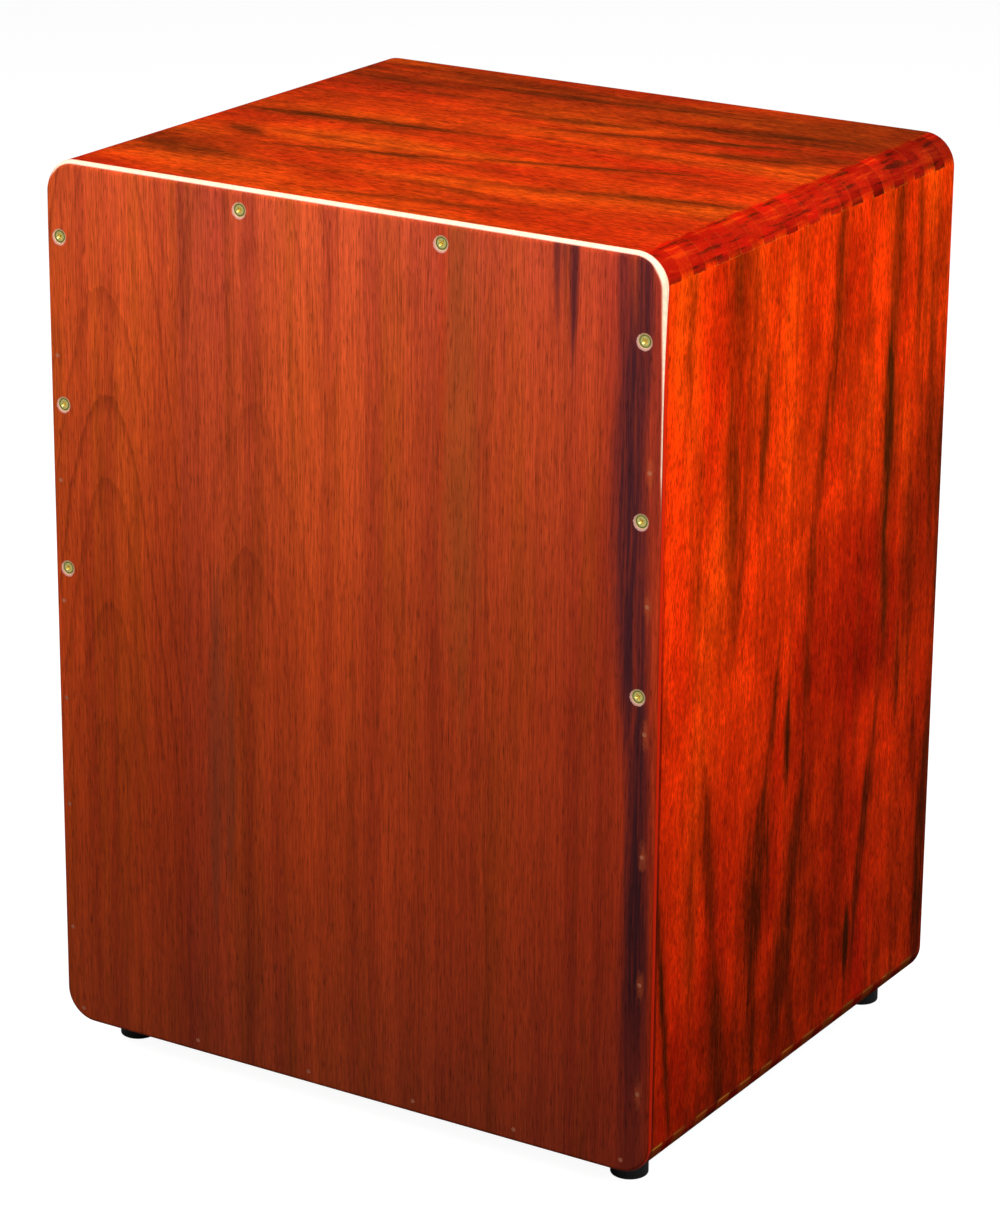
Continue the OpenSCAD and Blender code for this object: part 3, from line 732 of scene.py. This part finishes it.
def back_face():
    """Stained face of the back panel, with the plies on the edges of its hole."""
    g = Graph("back_plywood")
    space = grain_space(g, g.x, g.y, g.z, 10, 21)
    tint = g.mix(g.span(fibres(g, space, 30, 600), 0.35, 0.65), colour(148, 54, 20), colour(176, 74, 28))
    bands = g.vary(fibres(g, space, 6, 300, detail=3), 0.8, 1.1)
    lines = g.vary(fibres(g, space, 0.9, 40), 0.88, 1.08)
    rings = 1 + arches(g, space, 15, 0.3, 70, 13) * -0.2
    pores = g.span(fibres(g, space, 0.5, 7, detail=1), 0.6, 0.72)
    value = bands * lines * rings * (1 - pores * 0.25)
    # Painted shade: darker towards the bottom.
    tint = g.shade(tint, value * g.with_height(0.7, 1))
    _, normal_y, _ = g.normal()
    edge = g.fade(abs(normal_y), 0.3, 0.8)
    deep = (g.y - back_low.y / MM) * (5 / 6)
    ply = g.span(g.math("PINGPONG", deep, 1), 0.45, 0.55)
    plies = g.mix(ply, colour(196, 132, 78), colour(122, 66, 34))
    g.set(base_color=g.mix(edge, tint, plies), roughness=0.48, specular_ior_level=0.4)
    g.bump(pores * -1, 0.04, 0.4)
    return g.material


def metal(name, base, roughness, scratch, dirt):
    """Plain metal with fine marks, and darker where dirt collects."""
    g = Graph(name)
    mark = g.noise(g.place, scale=scratch, detail=3, roughness=0.7)
    film = g.span(g.noise(g.place, scale=0.6), 0.35, 0.65)
    g.set(base_color=g.mix(film * 0.5, base, dirt), metallic=0.9,
          roughness=g.vary(mark, roughness * 0.75, roughness * 1.3))
    g.bump(mark, 0.01, 0.4)
    return g.material


def screw_brass():
    """Brass-coloured plating: turned rings, an olive film, a painted highlight ring near the rim, and a
    recess painted brighter as a painted highlight.
    """
    g = Graph("screw_brass")
    flat = g.join(g.x, 0, g.z)
    centres = [middle(name) / MM for name in SCREWS]
    radius = functools.reduce(g.smaller, [g.distance(flat, (c.x, 0, c.z)) for c in centres])
    rings = g.noise(g.join(radius * 5, 0, 0))
    film = g.span(g.noise(g.place, scale=0.9, detail=3), 0.35, 0.65)
    tint = g.mix(film * 0.45, colour(255, 246, 160), colour(196, 184, 84))
    tint = g.mix(g.span(radius, 2.3, 2.9), tint, colour(132, 122, 44))
    # Painted highlight: a bright ring near the rim of each head.
    tint = g.mix(g.span(radius, 3.1, 3.3), tint, colour(236, 226, 150))
    tint = g.shade(tint, g.vary(rings, 0.8, 1.1))
    face = (FRONT_Y + SCREW_SINK) / MM
    # Painted highlight: the cross recess painted brighter.
    recess = g.span(g.y, face + 0.05, face + 0.3)
    inside = recess * g.fade(radius, 2.6, 2.8)
    tint = g.mix(inside, tint, colour(255, 232, 120))
    g.set(base_color=tint, metallic=0.7, roughness=g.span(film, 0, 1, 0.34, 0.5))
    g.bump(rings, 0.02, 0.5)
    return g.material


def rubber():
    g = Graph("rubber")
    dust = g.span(g.noise(g.place, scale=0.5, detail=4, roughness=0.7), 0.45, 0.75)
    g.set(base_color=g.mix(dust * 0.3, (0.006, 0.0065, 0.0065, 1), (0.03, 0.03, 0.028, 1)),
          roughness=g.span(dust, 0, 1, 0.42, 0.62), specular_ior_level=0.45)
    g.bump(g.noise(g.place, scale=2.5), 0.03, 0.5)
    return g.material


def filler():
    g = Graph("filler")
    value = g.vary(g.noise(g.place, scale=1.5, detail=3, roughness=0.7), 0.6, 1.1)
    # Painted shade: darker towards the bottom.
    shade = value * g.with_height(0.55, 1)
    g.set(base_color=g.shade(colour(196, 104, 66), shade), roughness=0.6)
    g.bump(value, 0.05, 0.5)
    return g.material


# ---- building pieces ----


SHARP_ANGLE = math.radians(35)


def attach(piece, name):
    """Adds a piece to the body, in place of the CAD node called name."""
    scene.collection.objects.link(piece)
    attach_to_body(piece, BODY)
    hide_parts(name)


def new_piece(name, bm, materials):
    """Makes a mesh piece of the body from bm, smooth except at its sharp edges."""
    mesh = bpy.data.meshes.new(name)
    bmesh.ops.recalc_face_normals(bm, faces=bm.faces)
    bm.to_mesh(mesh)
    bm.free()
    for material in materials:
        mesh.materials.append(material)
    mesh.polygons.foreach_set("use_smooth", [True] * len(mesh.polygons))
    mesh.set_sharp_from_angle(angle=SHARP_ANGLE)
    piece = bpy.data.objects.new(name, mesh)
    weighted = piece.modifiers.new("weighted_normals", "WEIGHTED_NORMAL")
    weighted.keep_sharp = True
    attach(piece, name)


def arc(cx, cz, radius, start, end, steps):
    """Points of an arc, from the angle start to the angle end, in radians."""
    angles = [start + (end - start) * i / steps for i in range(steps + 1)]
    return [(cx + radius * math.cos(a), cz + radius * math.sin(a)) for a in angles]


# Eased edges of the boards: how far back from each end of the body, and how far in
FRONT_EASE = [(0.0, 0.25 * MM), (0.25 * MM, 0.0)]
REAR_EASE_R = 1.2 * MM
REAR_EASE_STEPS = 4


def board_levels():
    """Levels along Y at which the boards' outline is drawn, each (y, how far the outline is inset)."""
    levels = [(SHELL_FRONT_Y + back, inset) for back, inset in FRONT_EASE]
    levels += [(SHELL_FRONT_Y + i * FINGER_W, 0.0) for i in range(1, FINGERS)]
    for step in range(REAR_EASE_STEPS + 1):
        turn = math.pi / 2 * step / REAR_EASE_STEPS
        levels.append((REAR_Y - REAR_EASE_R * (1 - math.sin(turn)), REAR_EASE_R * (1 - math.cos(turn))))
    return levels


def finger_of(y):
    """Number of the finger that holds y."""
    return min(FINGERS - 1, int((y - SHELL_FRONT_Y) / FINGER_W))


def corner_angles(radius):
    """Angles at which an arc round the upper right corner crosses the seat's and the side's inner plane."""
    return math.asin((INNER_TOP - CORNER_Z) / radius), math.acos((INNER_X - CORNER_X) / radius)


def corner_region(inset):
    """Outline of a joint in the upper right corner, outside both inner planes."""
    radius = CORNER_R - inset
    return [(INNER_X, INNER_TOP)] + arc(CORNER_X, CORNER_Z, radius, *corner_angles(radius), 14)


def seat_region(inset):
    """Outline of the seat board between the two joints."""
    radius = CORNER_R - inset
    right = arc(CORNER_X, CORNER_Z, radius, corner_angles(radius)[1], math.pi / 2, 3)
    return [(-INNER_X, INNER_TOP), (INNER_X, INNER_TOP)] + right + mirrored(reversed(right), True, False)


def side_region(inset):
    """Outline of the right side board between the two joints."""
    radius = CORNER_R - inset
    top = arc(CORNER_X, CORNER_Z, radius, 0.0, corner_angles(radius)[0], 3)
    return [(INNER_X, INNER_TOP), (INNER_X, INNER_BOTTOM)] + mirrored(reversed(top), False, True) + top


def mirrored(outline, to_left, to_bottom):
    """The outline mirrored to the left, to the bottom, both or neither."""
    return [(-x if to_left else x, BOTTOM + TOP - z if to_bottom else z) for x, z in outline]


def finger_board(name, region, joints, first, material):
    """One board: region between its joints, and a finger at every second place in each joint.

    joints say how the upper right joint is mirrored to each of this board's joints, as (to_left,
    to_bottom). The first of them mirrors the region too. first is the number of the first finger.
    """
    bm = bmesh.new()
    levels = board_levels()
    made = {}

    def point(level, x, z):
        key = (level, round(x, 7), round(z, 7))
        if key not in made:
            made[key] = bm.verts.new((x, levels[level][0], z))
        return made[key]

    def rings(outline):
        """The outline at every level, as corners of the mesh."""
        found = []
        for level, (_, inset) in enumerate(levels):
            found.append([point(level, x, z) for x, z in outline(inset)])
        return found

    def walls(ring, active):
        """Corners of the walls along the active spans."""
        count = len(ring[0])
        return [
            (ring[n][i], ring[n][(i + 1) % count], ring[n + 1][(i + 1) % count], ring[n + 1][i])
            for n in range(len(active)) if active[n] for i in range(count)
        ]

    def skin(ring, active):
        """Walls along the active spans, and caps where they start and end."""
        for quad in walls(ring, active):
            if frozenset(quad) not in shared:
                bm.faces.new(quad)
        for level, (before, after) in enumerate(zip([False] + active, active + [False])):
            if before != after:
                bm.faces.new(ring[level])

    spans = [(a[0] + b[0]) / 2 for a, b in zip(levels, levels[1:])]
    fingered = [finger_of(y) % 2 == first for y in spans]
    core = rings(lambda inset: mirrored(region(inset), *joints[0]))
    corners = [rings(lambda inset, way=way: mirrored(corner_region(inset), *way)) for way in joints]
    core_walls = {frozenset(quad) for quad in walls(core, fingered)}
    shared = set()
    for ring in corners:
        shared |= core_walls & {frozenset(quad) for quad in walls(ring, fingered)}
    skin(core, [True] * len(spans))
    for ring in corners:
        skin(ring, fingered)
    new_piece(name, bm, [material])


def rounded_rectangle(half_w, low, high, radius, steps, side_steps):
    """Points round a rounded rectangle, anticlockwise, with the straight sides cut up."""
    right, left, lower, upper = half_w - radius, -half_w + radius, low + radius, high - radius
    corners = []
    for turn, (x, z) in enumerate(((right, lower), (right, upper), (left, upper), (left, lower))):
        start = (turn - 1) * math.pi / 2
        corners.append(arc(x, z, radius, start, start + math.pi / 2, steps))
    points = []
    for corner, following in zip(corners, corners[1:] + corners[:1]):
        points += corner
        (ax, az), (bx, bz) = corner[-1], following[0]
        for i in range(1, side_steps):
            points.append((ax + (bx - ax) * i / side_steps, az + (bz - az) * i / side_steps))
    return points


def outward(points):
    """Unit vectors out of a closed outline of points that runs anticlockwise."""
    found = []
    for before, after in zip(points[-1:] + points[:-1], points[1:] + points[:1]):
        along = Vector((after[0] - before[0], after[1] - before[1])).normalized()
        found.append((along.y, -along.x))
    return found


HOLE_STEPS = 40


def circle(radius, steps):
    """Points round a circle about 0."""
    turns = [2 * math.pi * i / steps for i in range(steps)]
    return [(radius * math.cos(t), radius * math.sin(t)) for t in turns]


def band(bm, inner, outer, index=0):
    """Faces between two loops of corners."""
    for i in range(len(inner)):
        j = (i + 1) % len(inner)
        bm.faces.new((inner[i], inner[j], outer[j], outer[i])).material_index = index


def plate(name, outline, sections, holes, materials):
    """Plate whose face looks along Y.

    sections gives, for each point of the outline, its (y, inset) pairs from the back face to the
    front one. holes are (x, z, [(radius, y), ...]), from the front face to the back one. The front
    face takes the first material, the edges the second, the holes the third and the back the fourth.
    """
    bm = bmesh.new()
    normals = outward(outline)
    rings = []
    for (x, z), (nx, nz), section in zip(outline, normals, sections):
        rings.append([bm.verts.new((x - nx * inset, y, z - nz * inset)) for y, inset in section])
    for here, following in zip(rings, rings[1:] + rings[:1]):
        for k in range(len(here) - 1):
            bm.faces.new((here[k], following[k], following[k + 1], here[k + 1])).material_index = 1
    front_loops = [[ring[-1] for ring in rings]]
    back_loops = [[ring[0] for ring in rings]]
    for x, z, profile in holes:
        loops = []
        for radius, y in profile:
            loops.append([bm.verts.new((x + a, y, z + b)) for a, b in circle(radius, HOLE_STEPS)])
        for inner, outer in zip(loops, loops[1:]):
            band(bm, inner, outer, 2)
        front_loops.append(loops[0])
        back_loops.append(loops[-1])
    for loops, index in ((front_loops, 0), (back_loops, 3)):
        corners = [corner for loop in loops for corner in loop]
        flat = [[Vector((corner.co.x, corner.co.z, 0.0)) for corner in loop] for loop in loops]
        for triangle in tessellate_polygon(flat):
            bm.faces.new([corners[i] for i in triangle]).material_index = index
    new_piece(name, bm, materials)


def lathe(bm, centre, profile, steps=48):
    """Turned solid round a vertical axis. profile is the closed outline of its section, as (radius, z)."""
    x, y = centre
    loops = [[bm.verts.new((x + a, y + b, z)) for a, b in circle(radius, steps)] for radius, z in profile]
    for inner, outer in zip(loops, loops[1:] + loops[:1]):
        band(bm, inner, outer)


# Radii of a screw hole in millimetres: its rim, just inside the rim, and the shank
TAPA_SCREW_HOLE = (3.95, 3.75, 2.1)
BACK_SCREW_HOLE = (3.75, 3.55, 1.8)
COUNTERSINK = 1.9 * MM


def screw_hole(centre, radii, face, ease, far):
    """Countersunk hole through a plate, from its face to its far side."""
    rim, inside, shank = (radius * MM for radius in radii)
    inward = math.copysign(1.0, far - face)
    return centre.x, centre.z, [
        (rim, face), (inside, face + inward * ease), (shank, face + inward * COUNTERSINK), (shank, far)]


# ---- boards ----


def make_boards():
    side = board("side_board_wood", "z", SIDE_STREAKS, SIDE_PATCHES, 1.0)
    seat = board("seat_board_wood", "x", SEAT_STREAKS, SEAT_PATCHES, 31.0)
    top_right, top_left = (False, False), (True, False)
    low_right, low_left = (False, True), (True, True)
    finger_board("seat_board", seat_region, [top_right, top_left], 0, seat)
    finger_board("base_board", seat_region, [low_right, low_left], 0, seat)
    finger_board("right_side_board", side_region, [top_right, low_right], 1, side)
    finger_board("left_side_board", side_region, [top_left, low_left], 1, side)


# ---- tapa ----

ARRIS_STEPS = 8
THIN_ARRIS = (2.3 * MM, 2.2 * MM)
FULL_ARRIS = (4.2 * MM, 3.2 * MM)
# Heights between which the arris widens, on the right half and on the left half
WIDENING_RIGHT = (420 * MM, 482 * MM)
WIDENING_LEFT = (TOP - 22 * MM, TOP - 8 * MM)
BACK_CHAMFER = 0.25 * MM
BRAD_HOLE_R = 0.65 * MM


def smooth_share(value, low, high):
    share = min(1.0, max(0.0, (value - low) / (high - low)))
    return share * share * (3 - 2 * share)


def tapa_section(x, z):
    """(y, inset) pairs of the tapa's edge; the arris is widest along the top and the upper right."""
    share = smooth_share(z, *(WIDENING_RIGHT if x > 0 else WIDENING_LEFT))
    width, deep = (thin + (full - thin) * share for thin, full in zip(THIN_ARRIS, FULL_ARRIS))
    back = tapa_high.y
    section = [(back, BACK_CHAMFER), (back - BACK_CHAMFER, 0.0)]
    for step in range(ARRIS_STEPS + 1):
        turn = math.pi / 2 * step / ARRIS_STEPS
        section.append((FRONT_Y + deep * (1 - math.sin(turn)), width * (1 - math.cos(turn))))
    return section


def make_tapa():
    outline = rounded_rectangle(HALF_W, BOTTOM, TOP, CORNER_R, 16, 24)
    sections = [tapa_section(x, z) for x, z in outline]
    back = tapa_high.y
    holes = [screw_hole(middle(name), TAPA_SCREW_HOLE, FRONT_Y, 0.06 * MM, back) for name in SCREWS]
    for centre, size in islands(BRADS):
        radius = size.x / 2
        deep = FRONT_Y + size.y
        holes.append((centre.x, centre.z, [
            (radius, FRONT_Y), (radius, deep), (BRAD_HOLE_R, deep), (BRAD_HOLE_R, back)]))
    core = bare_ply("tapa_core", colour(214, 170, 120))
    chips = bare_ply("tapa_countersinks", colour(228, 176, 140))
    plate("tapa", outline, sections, holes, [tapa_face(), tapa_edge(), chips, core])


# ---- back panel ----

SOUND_HOLE_Z = 279.5 * MM
SOUND_HOLE_R = 59.0 * MM


def make_back():
    outline = rounded_rectangle(back_high.x, back_low.z, back_high.z, 0.6 * MM, 2, 4)
    rear = back_high.y
    inner = back_low.y
    section = [(inner, 0.0), (rear - 0.4 * MM, 0.0), (rear - 0.12 * MM, 0.12 * MM), (rear, 0.4 * MM)]
    rims = [(SOUND_HOLE_R + out * MM, back * MM) for out, back in ((1.0, 0.0), (0.3, 0.3), (0.0, 1.0))]
    hole = [(radius, rear - back) for radius, back in rims]
    hole += [(radius, inner + back) for radius, back in reversed(rims)]
    holes = [(0.0, SOUND_HOLE_Z, hole)]
    for centre, _ in islands("back_panel_screws"):
        holes.append(screw_hole(centre, BACK_SCREW_HOLE, rear, 0.1 * MM, inner))
    face = back_face()
    raw = bare_ply("back_inner_ply", colour(206, 160, 112))
    sections = [section] * len(outline)
    plate("back_panel", outline, sections, holes, [face, face, face, raw])


# ---- feet ----

FOOT_POCKET_R = 5.5 * MM
FOOT_POCKET_H = 7.0 * MM
FOOT_HOLE_R = 2.05 * MM


def make_feet():
    black = rubber()
    ease = 0.9 * MM
    for name in sorted(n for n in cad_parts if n.startswith(("foot_front", "foot_rear"))):
        low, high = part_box(name)
        centre = middle(name).xy
        radius = (high.x - low.x) / 2
        profile = [
            (FOOT_HOLE_R, FOOT_POCKET_H), (FOOT_POCKET_R, FOOT_POCKET_H),
            (FOOT_POCKET_R, low.z + ease * 0.5), (FOOT_POCKET_R + ease * 0.5, low.z)]
        profile += [
            (radius - ease * (1 - math.sin(t)), low.z + ease * (1 - math.cos(t)))
            for t in (0.0, 0.4, 0.8, 1.2, math.pi / 2)
        ]
        profile += [(radius, high.z - 0.5 * MM), (radius - 0.15 * MM, high.z - 0.15 * MM)]
        profile += [(radius - 0.5 * MM, high.z), (FOOT_HOLE_R, high.z)]
        bm = bmesh.new()
        lathe(bm, centre, profile)
        new_piece(name, bm, [black])


# ---- snare wires ----

WIRE_R = 0.19 * MM
COIL_R = 0.7 * MM
COIL_PITCH = 1.15 * MM
COIL_STEPS = 8
ROD_R = 0.9 * MM


def make_snares():
    steel = metal("snare_steel", (0.56, 0.57, 0.58, 1), 0.28, 3.0, (0.3, 0.3, 0.3, 1))
    for side in ("left", "right"):
        node = f"snare_wires_{side}"
        curve = bpy.data.curves.new(node, "CURVE")
        curve.dimensions = "3D"
        curve.bevel_depth = WIRE_R
        curve.bevel_resolution = 1
        for start, end in rods(node):
            add_coil(curve, start, end)
        curve.materials.append(steel)
        attach(bpy.data.objects.new(node, curve), node)


def rods(node):
    """Ends of the axis of each round rod in a CAD node, lowest end first."""
    found = []
    for centre, size in islands(node):
        lean_x = size.x if centre.x > 0 else -size.x
        half = Vector((lean_x, -size.y, size.z)) / 2
        along = half.normalized()
        half -= along * ROD_R
        found.append((centre - half, centre + half))
    return found


def add_coil(curve, start, end):
    """One coiled wire from start to end."""
    along = end - start
    length = along.length
    along.normalize()
    side = along.orthogonal().normalized()
    other = along.cross(side)
    count = int(length / COIL_PITCH * COIL_STEPS)
    spline = curve.splines.new("POLY")
    spline.points.add(count)
    for i in range(count + 1):
        turn = 2 * math.pi * i / COIL_STEPS
        place = start + along * (length * i / count)
        place += (side * math.cos(turn) + other * math.sin(turn)) * COIL_R
        spline.points[i].co = (*place, 1.0)


# ---- materials of the CAD pieces that are shown as they are ----


def dress(names, material, bevel=0.0):
    for name in names:
        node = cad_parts[name]
        node.data.materials.clear()
        node.data.materials.append(material)
        if bevel:
            ease = node.modifiers.new("eased_edges", "BEVEL")
            ease.width = bevel
            ease.segments = 2
            ease.limit_method = "ANGLE"
            ease.angle_limit = math.radians(40)


def dress_cad_pieces():
    brass = metal("brass", colour(250, 232, 120), 0.45, 4.0, colour(170, 150, 60))
    steel = metal("steel", (0.5, 0.5, 0.5, 1), 0.35, 3.0, (0.25, 0.25, 0.24, 1))
    dress(SCREWS, screw_brass())
    dress(["back_panel_screws", "snare_bar_screws"], brass)
    dress(["tapa_brads", "foot_washers", "foot_screws"], steel)
    dress(["snare_plate_left", "snare_plate_right", "snare_plate_screws"], steel)
    dress([BRADS], filler())
    upright = raw_wood("batten_wood_upright", "z", colour(210, 166, 116), 2.0)
    across = raw_wood("batten_wood_across", "x", colour(204, 158, 108), 11.0)
    dress(["batten_left", "batten_right", "snare_block_left", "snare_block_right"], upright, 0.6 * MM)
    dress(["batten_top", "batten_bottom", "snare_bar"], across, 0.6 * MM)


# ---- stage ----

FLOOR_HALF_SIZE = 30.0
FLOOR_Z = -0.5 * MM
FLOOR_GLOW = 0.94
SKY_LIGHT = 0.06


def area_light(name, place, target, size, power):
    data = bpy.data.lights.new(name, "AREA")
    data.shape = "RECTANGLE"
    data.size, data.size_y = size
    data.energy = power
    lamp = bpy.data.objects.new(name, data)
    lamp.location = place
    lamp.rotation_euler = (Vector(target) - Vector(place)).to_track_quat("-Z", "Y").to_euler()
    scene.collection.objects.link(lamp)


def floor_material():
    """Pale floor; it is white to the camera, and throws little light back onto the object."""
    g = Graph("floor")
    g.set(base_color=(0.2, 0.2, 0.2, 1), roughness=0.9, specular_ior_level=0.0)
    lit = Wire(g, g.shader.outputs[0])
    glow = g.made("ShaderNodeEmission", {"Color": (1, 1, 1, 1), "Strength": FLOOR_GLOW})
    both = g.made("ShaderNodeAddShader", {0: lit, 1: glow})
    seen = g.made("ShaderNodeLightPath", {}, "Is Camera Ray")
    surface = g.made("ShaderNodeMixShader", {0: seen, 1: lit, 2: both})
    g.put(g.output.inputs["Surface"], surface)
    return g.material


def make_stage():
    bm = bmesh.new()
    bmesh.ops.create_grid(bm, x_segments=1, y_segments=1, size=FLOOR_HALF_SIZE)
    mesh = bpy.data.meshes.new("floor")
    bm.to_mesh(mesh)
    bm.free()
    mesh.materials.append(floor_material())
    floor = bpy.data.objects.new("floor", mesh)
    floor.location.z = FLOOR_Z
    scene.collection.objects.link(floor)

    world = bpy.data.worlds.new("studio")
    scene.world = world
    world.use_nodes = True
    nodes, links = world.node_tree.nodes, world.node_tree.links
    nodes.clear()
    output = nodes.new("ShaderNodeOutputWorld")
    rays = nodes.new("ShaderNodeLightPath")
    mix = nodes.new("ShaderNodeMixShader")
    links.new(rays.outputs["Is Camera Ray"], mix.inputs[0])
    for index, strength in ((1, SKY_LIGHT), (2, 1.0)):
        sky = nodes.new("ShaderNodeBackground")
        sky.inputs["Color"].default_value = (1, 1, 1, 1)
        sky.inputs["Strength"].default_value = strength
        links.new(sky.outputs[0], mix.inputs[index])
    links.new(mix.outputs[0], output.inputs["Surface"])

    area_light("key", (-0.6, -1.3, 1.5), (0, -0.1, 0.3), (1.5, 1.3), 28)
    area_light("right", (1.1, -0.5, 1.35), (0.15, 0, 0.3), (1.0, 1.3), 28)
    area_light("left_fill", (-1.6, 0.3, 1.2), (-0.15, 0, 0.25), (1.0, 1.0), 14)
    area_light("rear_fill", (0.7, 1.7, 1.2), (0, 0.15, 0.25), (1.0, 1.0), 18)
    scene.view_settings.view_transform = "Standard"


make_boards()
make_tapa()
make_back()
make_feet()
make_snares()
dress_cad_pieces()
make_stage()
